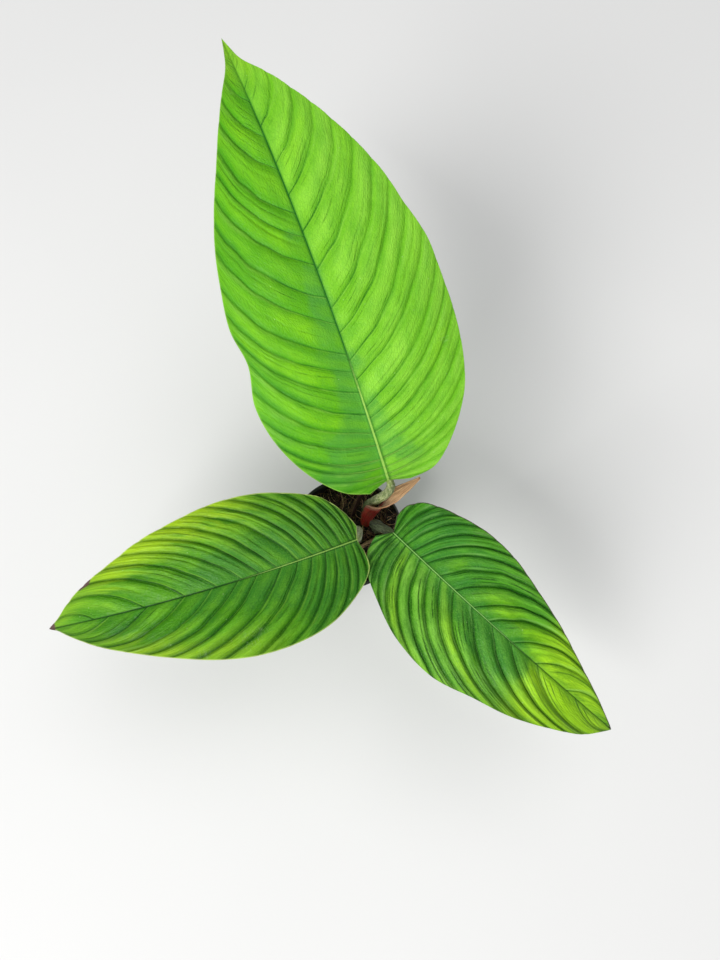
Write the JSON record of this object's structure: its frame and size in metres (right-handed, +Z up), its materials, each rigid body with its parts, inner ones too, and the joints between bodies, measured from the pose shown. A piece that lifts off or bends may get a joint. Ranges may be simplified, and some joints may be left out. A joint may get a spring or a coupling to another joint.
{
  "type": "potted philodendron rugapetiolatum",
  "caption": "Young climbing foliage plant in a small round nursery pot, with long quilted pointed leaves on rough petioles, leaf sheaths and a bark mix heaped round the stem.",
  "frame": {"origin": "centre of the pot's foot, in the plane of the surface that the pot stands on", "axes": "+Z up along the pot's axis, +Y towards the tip of the large leaf, +X to the right seen from the side of the two smaller leaves"},
  "size_m": [0.3495, 0.4118, 0.2156],
  "materials": {
    "pot_plastic": "satin",
    "bark_mix": "matte",
    "stem_skin": "matte",
    "root_skin": "matte",
    "petiole_skin": "matte",
    "young_leaf": "satin",
    "mature_leaf": "satin",
    "fresh_sheath": "satin",
    "dried_sheath": "matte"
  },
  "bodies": {
    "root": {"pot": "pot_plastic", "soil": "bark_mix", "stem": "stem_skin", "root": "root_skin", "petiole_large": "petiole_skin", "petiole_left": "petiole_skin", "petiole_right": "petiole_skin", "blade_large": "young_leaf", "blade_left": "mature_leaf", "blade_right": "mature_leaf", "cataphyll_fresh": "fresh_sheath", "cataphyll_old": "dried_sheath"}
  },
  "joints": []
}
